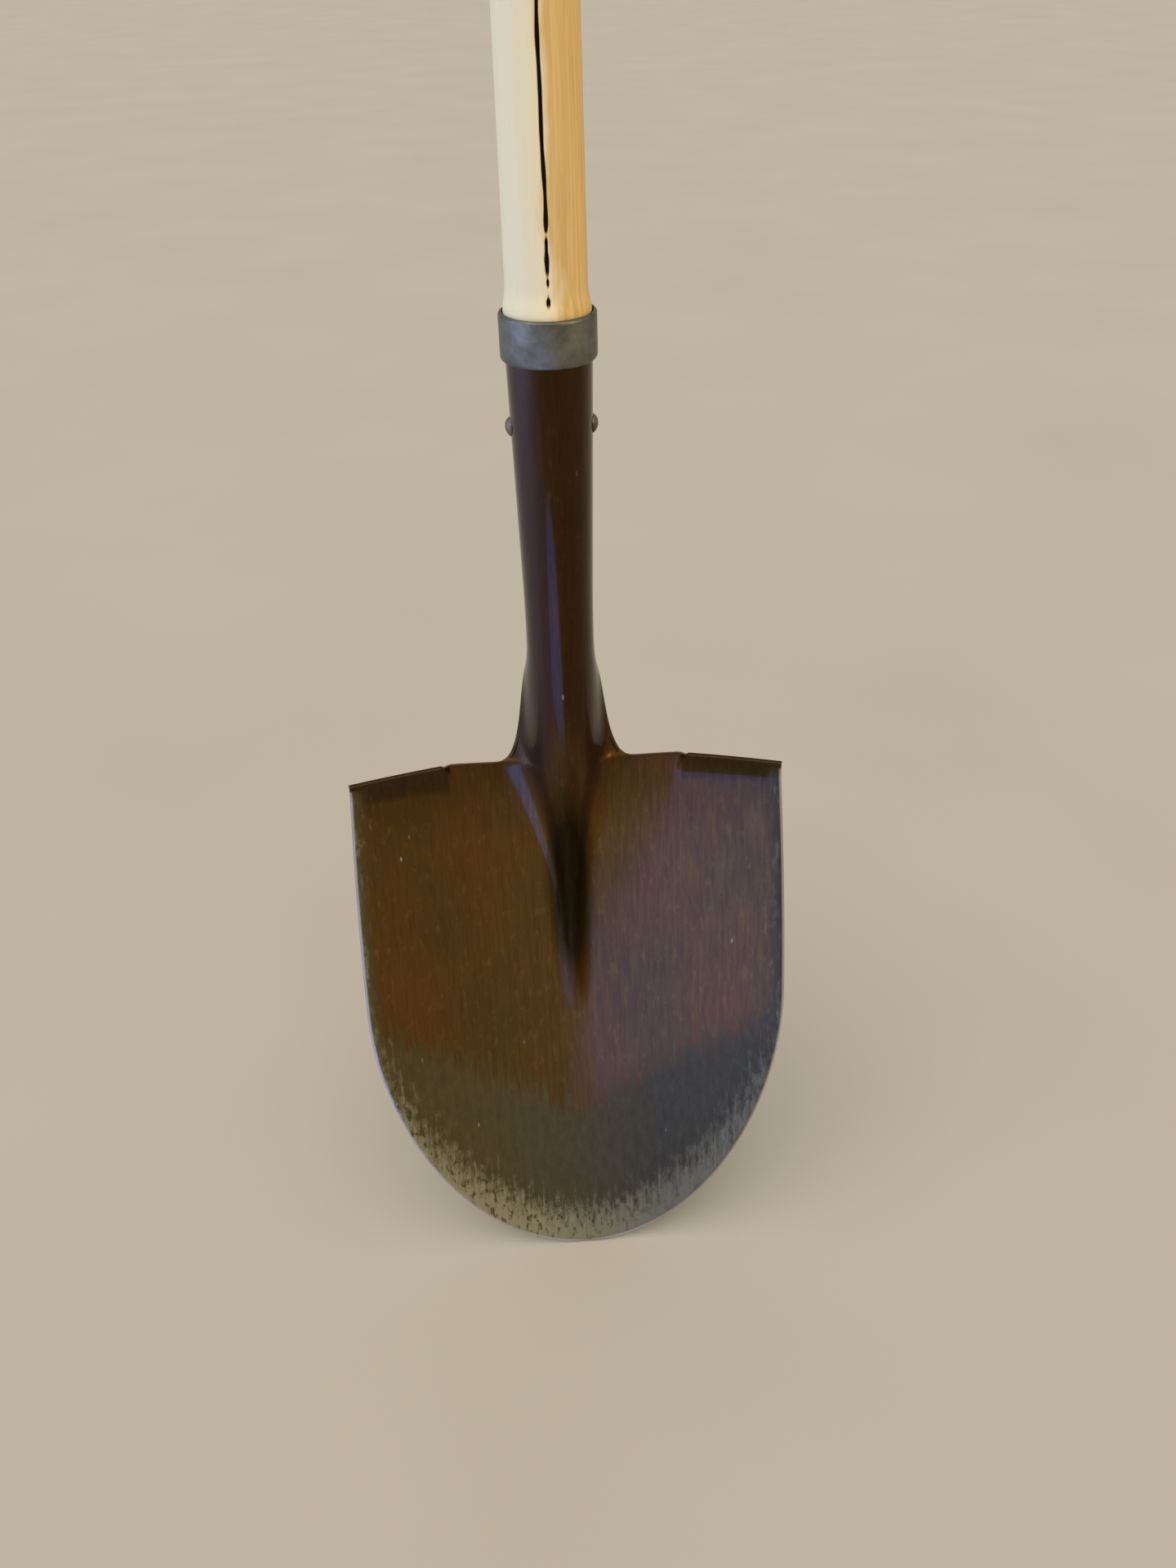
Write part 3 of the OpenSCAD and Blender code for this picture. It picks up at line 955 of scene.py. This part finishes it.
    links.new(lay_split.outputs["Y"], wear_width.inputs["Value"])
    links.new(streak.outputs["Fac"], wear_mixed.inputs[0])
    links.new(rust_grain.outputs["Fac"], wear_mixed.inputs[1])
    links.new(wear_mixed.outputs["Value"], wear_ragged.inputs[0])
    links.new(wear_width.outputs["Result"], wear_reach.inputs[0])
    links.new(wear_ragged.outputs["Value"], wear_reach.inputs[1])
    links.new(wear_reach.outputs["Value"], wear_inside.inputs[0])
    links.new(edge_gap.outputs["Fac"], wear_inside.inputs[1])
    links.new(wear_inside.outputs["Value"], wear_mask.inputs["Value"])
    links.new(blotch_lay.outputs["Vector"], pits.inputs["Vector"])
    links.new(pits.outputs["Fac"], pit_mask.inputs["Value"])
    links.new(lay_split.outputs["X"], pits_and_painted_light_side.inputs["Value"])
    links.new(pit_mask.outputs["Result"], pit_depth.inputs[0])
    links.new(pits_and_painted_light_side.outputs["Result"], pit_depth.inputs[1])
    links.new(wear_mask.outputs["Result"], wear_pitted.inputs[0])
    links.new(pit_depth.outputs["Value"], wear_pitted.inputs[1])
    links.new(pits_and_painted_light_side.outputs["Result"], worn_tint_and_reflection.inputs["Factor"])
    links.new(wear_pitted.outputs["Value"], worn.inputs["Factor"])
    links.new(coated.outputs["Result"], worn.inputs["A"])
    links.new(worn_tint_and_reflection.outputs["Result"], worn.inputs["B"])

    links.new(blotch_lay.outputs["Vector"], fleck_cells.inputs["Vector"])
    links.new(fleck_cells.outputs["Distance"], fleck_size.inputs["Value"])
    links.new(fleck_cells.outputs["Color"], fleck_pick.inputs["Value"])
    links.new(fleck_size.outputs["Result"], fleck_mask.inputs[0])
    links.new(fleck_pick.outputs["Result"], fleck_mask.inputs[1])
    links.new(edge_gap.outputs["Fac"], rim_mask.inputs["Value"])
    links.new(fleck_mask.outputs["Value"], bright_mask.inputs[0])
    links.new(rim_mask.outputs["Result"], bright_mask.inputs[1])
    links.new(bright_mask.outputs["Value"], brightened.inputs["Factor"])
    links.new(worn.outputs["Result"], brightened.inputs["A"])

    links.new(streak.outputs["Fac"], gloss.inputs["Value"])
    links.new(streak.outputs["Fac"], relief_sum.inputs[0])
    links.new(rust_grain.outputs["Fac"], relief_sum.inputs[1])
    links.new(relief_sum.outputs["Value"], relief.inputs["Height"])
    links.new(brightened.outputs["Result"], steel.inputs["Base Color"])
    links.new(gloss.outputs["Result"], steel.inputs["Roughness"])
    links.new(core_mask.outputs["Result"], coat_kept.inputs[0])
    links.new(coat_left.outputs["Value"], coat_kept.inputs[2])
    links.new(coat_kept.outputs["Value"], steel.inputs["Coat Weight"])
    links.new(relief.outputs["Normal"], steel.inputs["Normal"])
    links.new(steel.outputs["BSDF"], surface.inputs["Surface"])
    return material


def plated_metal(name, light_tone, dark_tone, roughest, smoothest):
    """Dull plated or bare metal with smudges, small pits and fine scuffs."""
    material = new_material(name)
    nodes = material.node_tree.nodes
    links = material.node_tree.links

    surface = nodes.new("ShaderNodeOutputMaterial")
    surface.label = "Metal surface"
    metal = nodes.new("ShaderNodeBsdfPrincipled")
    metal.label = "Dull metal"

    tone_frame = nodes.new("NodeFrame")
    tone_frame.label = "Smudged tone"
    place = nodes.new("ShaderNodeTexCoord")
    place.label = "Place on the piece"
    smudge = nodes.new("ShaderNodeTexNoise")
    smudge.label = "Smudges"
    tone = nodes.new("ShaderNodeValToRGB")
    tone.label = "Dark to light metal"

    finish_frame = nodes.new("NodeFrame")
    finish_frame.label = "Gloss and scuffs"
    scuff = nodes.new("ShaderNodeTexNoise")
    scuff.label = "Fine scuffs"
    gloss = nodes.new("ShaderNodeMapRange")
    gloss.label = "Roughness from scuffs"
    relief = nodes.new("ShaderNodeBump")
    relief.label = "Scuff relief"

    lay_out((
        (tone_frame, (place, smudge, tone), -900, 200),
        (finish_frame, (scuff, gloss, relief), -700, -300),
    ))
    metal.location = (100, 0)
    surface.location = (400, 0)

    smudge.inputs["Scale"].default_value = 90
    smudge.inputs["Detail"].default_value = 6
    smudge.inputs["Roughness"].default_value = 0.65
    tone.color_ramp.elements[0].position = 0.36
    tone.color_ramp.elements[0].color = dark_tone
    tone.color_ramp.elements[1].position = 0.62
    tone.color_ramp.elements[1].color = light_tone
    scuff.inputs["Scale"].default_value = 900
    scuff.inputs["Detail"].default_value = 4
    gloss.inputs["To Min"].default_value = roughest
    gloss.inputs["To Max"].default_value = smoothest
    relief.inputs["Strength"].default_value = 0.2
    relief.inputs["Distance"].default_value = 0.0002
    metal.inputs["Metallic"].default_value = 0.9

    links.new(place.outputs["Object"], smudge.inputs["Vector"])
    links.new(place.outputs["Object"], scuff.inputs["Vector"])
    links.new(smudge.outputs["Fac"], tone.inputs["Fac"])
    links.new(scuff.outputs["Fac"], gloss.inputs["Value"])
    links.new(scuff.outputs["Fac"], relief.inputs["Height"])
    links.new(tone.outputs["Color"], metal.inputs["Base Color"])
    links.new(gloss.outputs["Result"], metal.inputs["Roughness"])
    links.new(relief.outputs["Normal"], metal.inputs["Normal"])
    links.new(metal.outputs["BSDF"], surface.inputs["Surface"])
    return material


def ash_wood(name):
    """Bare ash, planed and dried: long grain, soft blotches, and a paler left side, partly weathered and
    partly painted light.
    """
    material = new_material(name)
    nodes = material.node_tree.nodes
    links = material.node_tree.links

    surface = nodes.new("ShaderNodeOutputMaterial")
    surface.label = "Handle surface"
    wood = nodes.new("ShaderNodeBsdfPrincipled")
    wood.label = "Bare ash"

    grain_frame = nodes.new("NodeFrame")
    grain_frame.label = "Long grain"
    place = nodes.new("ShaderNodeTexCoord")
    place.label = "Place on the handle"
    grain_lay = nodes.new("ShaderNodeMapping")
    grain_lay.label = "Draw the grain out along the handle"
    grain = nodes.new("ShaderNodeTexNoise")
    grain.label = "Grain lines"
    grain_tone = nodes.new("ShaderNodeValToRGB")
    grain_tone.label = "Tan to cream grain"

    # Paler left side: partly weathered wood, partly painted light from the cool lamp on the left
    side_frame = nodes.new("NodeFrame")
    side_frame.label = "Pale left side, weathered and painted light"
    split = nodes.new("ShaderNodeSeparateXYZ")
    split.label = "Left to right"
    blotch_lay = nodes.new("ShaderNodeMapping")
    blotch_lay.label = "Draw the blotches out"
    blotch = nodes.new("ShaderNodeTexNoise")
    blotch.label = "Soft blotches"
    blotch_shift = nodes.new("ShaderNodeMath")
    blotch_shift.label = "Blotches cross the middle"
    pale_and_lit_side_mask = nodes.new("ShaderNodeMapRange")
    pale_and_lit_side_mask.label = "Pale on the left"
    paled_and_lit = nodes.new("ShaderNodeMix")
    paled_and_lit.label = "Left side paler, weathered and painted light"

    # Painted shade: the wood is darkened almost black inside the crack, where shade falls
    crack_frame = nodes.new("NodeFrame")
    crack_frame.label = "Painted shade in the crack"
    in_crack = nodes.new("ShaderNodeAttribute")
    in_crack.label = "Inside the crack"
    crack_shade_edge = nodes.new("ShaderNodeMapRange")
    crack_shade_edge.label = "Edge of the painted shade"
    crack_with_painted_shade = nodes.new("ShaderNodeMix")
    crack_with_painted_shade.label = "Dark crack"

    finish_frame = nodes.new("NodeFrame")
    finish_frame.label = "Grain relief"
    relief = nodes.new("ShaderNodeBump")
    relief.label = "Raised grain"

    lay_out((
        (grain_frame, (place, grain_lay, grain, grain_tone), -1300, 400),
        (side_frame, (split, blotch_lay, blotch, blotch_shift, pale_and_lit_side_mask, paled_and_lit), -1300, 0),
        (crack_frame, (in_crack, crack_shade_edge, crack_with_painted_shade), -300, 400),
        (finish_frame, (relief,), -300, -400),
    ))
    wood.location = (500, 0)
    surface.location = (800, 0)

    grain_lay.inputs["Scale"].default_value = (1.0, 1.0, 0.03)
    grain.inputs["Scale"].default_value = 520
    grain.inputs["Detail"].default_value = 6
    grain.inputs["Roughness"].default_value = 0.6
    grain.inputs["Distortion"].default_value = 0.4
    grain_tone.color_ramp.elements[0].position = 0.32
    grain_tone.color_ramp.elements[0].color = (0.55, 0.365, 0.125, 1)
    grain_tone.color_ramp.elements[1].position = 0.62
    grain_tone.color_ramp.elements[1].color = (0.68, 0.495, 0.20, 1)
    blotch_lay.inputs["Scale"].default_value = (1.0, 1.0, 0.3)
    blotch.inputs["Scale"].default_value = 70
    blotch.inputs["Detail"].default_value = 4
    blotch_shift.operation = "MULTIPLY_ADD"
    blotch_shift.inputs[1].default_value = 0.02
    # Left side painted paler, partly weathering and partly painted light
    pale_and_lit_side_mask.inputs["From Min"].default_value = 0.0148
    pale_and_lit_side_mask.inputs["From Max"].default_value = 0.0100
    pale_and_lit_side_mask.inputs["To Max"].default_value = 0.85
    paled_and_lit.data_type = "RGBA"
    paled_and_lit.inputs["B"].default_value = (0.80, 0.75, 0.50, 1)
    # Painted shade in the crack, read from the points' in_crack values
    in_crack.attribute_name = "in_crack"
    crack_shade_edge.inputs["From Min"].default_value = 0.35
    crack_shade_edge.inputs["From Max"].default_value = 0.8
    crack_with_painted_shade.data_type = "RGBA"
    crack_with_painted_shade.inputs["B"].default_value = (0.035, 0.022, 0.010, 1)
    relief.inputs["Strength"].default_value = 0.15
    relief.inputs["Distance"].default_value = 0.0004
    wood.inputs["Roughness"].default_value = 0.62

    links.new(place.outputs["Object"], grain_lay.inputs["Vector"])
    links.new(grain_lay.outputs["Vector"], grain.inputs["Vector"])
    links.new(grain.outputs["Fac"], grain_tone.inputs["Fac"])
    links.new(place.outputs["Object"], split.inputs["Vector"])
    links.new(place.outputs["Object"], blotch_lay.inputs["Vector"])
    links.new(blotch_lay.outputs["Vector"], blotch.inputs["Vector"])
    links.new(blotch.outputs["Fac"], blotch_shift.inputs[0])
    links.new(split.outputs["X"], blotch_shift.inputs[2])
    links.new(blotch_shift.outputs["Value"], pale_and_lit_side_mask.inputs["Value"])
    links.new(pale_and_lit_side_mask.outputs["Result"], paled_and_lit.inputs["Factor"])
    links.new(grain_tone.outputs["Color"], paled_and_lit.inputs["A"])
    links.new(grain.outputs["Fac"], relief.inputs["Height"])
    links.new(in_crack.outputs["Fac"], crack_shade_edge.inputs["Value"])
    links.new(crack_shade_edge.outputs["Result"], crack_with_painted_shade.inputs["Factor"])
    links.new(paled_and_lit.outputs["Result"], crack_with_painted_shade.inputs["A"])
    links.new(crack_with_painted_shade.outputs["Result"], wood.inputs["Base Color"])
    links.new(relief.outputs["Normal"], wood.inputs["Normal"])
    links.new(wood.outputs["BSDF"], surface.inputs["Surface"])
    return material


def studio_floor(name):
    """Plain pale floor with the faintest unevenness."""
    material = new_material(name)
    nodes = material.node_tree.nodes
    links = material.node_tree.links

    surface = nodes.new("ShaderNodeOutputMaterial")
    surface.label = "Floor surface"
    paint = nodes.new("ShaderNodeBsdfPrincipled")
    paint.label = "Matt paint"

    tone_frame = nodes.new("NodeFrame")
    tone_frame.label = "Clouded tone"
    place = nodes.new("ShaderNodeTexCoord")
    place.label = "Place on the floor"
    cloud = nodes.new("ShaderNodeTexNoise")
    cloud.label = "Faint clouds"
    tone = nodes.new("ShaderNodeValToRGB")
    tone.label = "Pale tones"

    lay_out(((tone_frame, (place, cloud, tone), -700, 0),))
    paint.location = (100, 0)
    surface.location = (400, 0)

    cloud.inputs["Scale"].default_value = 3
    tone.color_ramp.elements[0].color = (0.50, 0.46, 0.40, 1)
    tone.color_ramp.elements[1].color = (0.56, 0.52, 0.46, 1)
    paint.inputs["Roughness"].default_value = 0.8

    links.new(place.outputs["Object"], cloud.inputs["Vector"])
    links.new(cloud.outputs["Fac"], tone.inputs["Fac"])
    links.new(tone.outputs["Color"], paint.inputs["Base Color"])
    links.new(paint.outputs["BSDF"], surface.inputs["Surface"])
    return material


# ---------------------------------------------------------------- pieces

patina = blade_patina("browned steel")
zinc = plated_metal("dull zinc", (0.185, 0.19, 0.165, 1), (0.10, 0.107, 0.095, 1), 0.55, 0.34)
rivet_steel = plated_metal("browned rivet steel", (0.22, 0.19, 0.16, 1), (0.09, 0.07, 0.05, 1), 0.55, 0.35)
ash = ash_wood("dry ash")

blade = add_piece(blade_cage(), "blade", patina)
smooth_more(blade, 2)
wall = blade.modifiers.new("sheet thickness", "SOLIDIFY")
wall.thickness = sheet_t
wall.offset = -1
wall.use_even_offset = False
edges = blade.modifiers.new("rounded edges", "BEVEL")
edges.width = edge_round
edges.segments = 2
edges.limit_method = "ANGLE"
edges.angle_limit = math.radians(50)

# The collar hides the socket's mouth: its section has a small lip inside and two broad rounds outside
collar_place = Matrix.Translation((0, axis_y, 0))
collar_gap = 0.05 * MM
collar_inner_r = mouth_r + collar_gap
lip_r = 0.35 * MM
collar_outline = corner(collar_inner_r + lip_r, collar_high.z - lip_r, lip_r, 180, 4)
collar_outline += corner(collar_r - collar_edge_r, collar_high.z - collar_edge_r, collar_edge_r, 90, 6)
collar_outline += corner(collar_r - collar_edge_r, collar_low.z + collar_edge_r, collar_edge_r, 0, 6)
collar_outline += [(collar_inner_r, collar_low.z)]
collar_shape = turned("collar_ring", collar_outline, True, 96, collar_place)
collar = add_piece(collar_shape, "collar", zinc)

# The rivet is one turned shape across the socket, with a low ball head at each end
seat = socket_r(rivet_z) - head_sink
shank_end = seat - 0.35 * MM
full_h = head_h + head_sink
ball_r = (head_r ** 2 + full_h ** 2) / (2 * full_h)
half_turn = math.asin(head_r / ball_r)
rivet_outline = []
for i in range(8):
    turn = half_turn * i / 7
    rivet_outline.append((ball_r * math.sin(turn), seat + full_h - ball_r * (1 - math.cos(turn))))
rivet_outline += [(head_r * 0.97, shank_end), (rivet_r, shank_end), (rivet_r, 0)]
rivet_outline += [(r, -h) for r, h in reversed(rivet_outline[:-1])]
rivet_place = Matrix.Translation((0, axis_y, rivet_z)) @ Matrix.Rotation(math.radians(90), 4, "Y")
rivet_shape = turned("through_rivet", rivet_outline, False, 40, rivet_place)
rivet = add_piece(rivet_shape, "socket_rivet", rivet_steel)
hammer_marks = bpy.data.textures.new("hammer marks", "CLOUDS")
hammer_marks.noise_scale = 4 * MM
hammered = rivet.modifiers.new("hammered heads", "DISPLACE")
hammered.texture = hammer_marks
hammered.texture_coords = "LOCAL"
hammered.strength = 0.5 * MM
hammered.mid_level = 0.5

handle = add_piece(handle_cage(), "handle", ash)
smooth_more(handle, 1)

# ---------------------------------------------------------------- floor, light and camera

floor_reach = 40
floor_corners = [(x * floor_reach, y * floor_reach, 0) for x, y in ((-1, -1), (1, -1), (1, 1), (-1, 1))]
floor_mesh = bpy.data.meshes.new("floor")
floor_mesh.from_pydata(floor_corners, [], [(0, 1, 2, 3)])
floor_mesh.materials.append(studio_floor("pale floor"))
floor = bpy.data.objects.new("floor", floor_mesh)
bpy.context.scene.collection.objects.link(floor)

world = bpy.data.worlds.new("studio")
bpy.context.scene.world = world
world.use_nodes = True
sky = world.node_tree.nodes["Background"]
sky.inputs["Color"].default_value = (1.0, 0.93, 0.80, 1)
sky.inputs["Strength"].default_value = 0.46


def aim(light, target):
    """Puts a light in the scene and turns it to the target."""
    bpy.context.scene.collection.objects.link(light)
    light.rotation_euler = (Vector(target) - light.location).to_track_quat("-Z", "Y").to_euler()


def soft_light(name, place, target, width, height, power, color):
    """A soft rectangular light that faces the target."""
    lamp = bpy.data.lights.new(name, "AREA")
    lamp.shape = "RECTANGLE"
    lamp.size = width
    lamp.size_y = height
    lamp.energy = power
    lamp.color = color
    light = bpy.data.objects.new(name, lamp)
    light.location = place
    light.visible_camera = False
    aim(light, target)
    return light


# A broad soft light from above, a cool one on the left and a warm one on the right
overhead = bpy.data.lights.new("overhead_light", "SUN")
overhead.energy = 1.72
overhead.angle = math.radians(70)
overhead.color = (1.0, 0.95, 0.86)
overhead_light = bpy.data.objects.new("overhead_light", overhead)
overhead_light.location = (-0.8, -1.0, 4.0)
aim(overhead_light, (0, 0, 0))
socket_middle = (0, 0, 0.4)
cool_blue = (0.36, 0.50, 1.0)
warm_amber = (1.0, 0.66, 0.28)
cool_side = soft_light("cool_side_light", (-1.35, -0.35, 0.6), socket_middle, 1.7, 1.3, 15, cool_blue)
warm_side = soft_light("warm_side_light", (1.4, -1.0, 1.4), socket_middle, 0.8, 0.8, 16, warm_amber)

# A small cool round light, low in front, that the right half of the blade mirrors
low_place = (-0.17, -0.45, 0.017)
low_target = (-0.17, 0, 0.017)
low_size = 0.354
deep_blue = (0.13, 0.27, 0.92)
low_cool = soft_light("low_cool_light", low_place, low_target, low_size, low_size, 1.9, deep_blue)
low_cool.data.shape = "DISK"

# These three shine on the shovel alone, so that the floor stays plain
shovel_pieces = bpy.data.collections.new("shovel_pieces")
for piece in (blade, collar, rivet, handle):
    shovel_pieces.objects.link(piece)
for light in (cool_side, warm_side, low_cool):
    light.light_linking.receiver_collection = shovel_pieces

# The camera looks down on the collar and the blade from half a metre in front of them
camera_data = bpy.data.cameras.new("camera")
camera_data.sensor_fit = "VERTICAL"
camera_data.sensor_height = 36
camera_data.lens = 28.125
camera = bpy.data.objects.new("camera", camera_data)
camera.location = (-0.0153, -0.4835, 0.6355)
camera.rotation_euler = [math.radians(turn) for turn in (54.51, 1.23, -3.84)]
bpy.context.scene.collection.objects.link(camera)
bpy.context.scene.camera = camera
bpy.context.scene.view_settings.view_transform = "Standard"
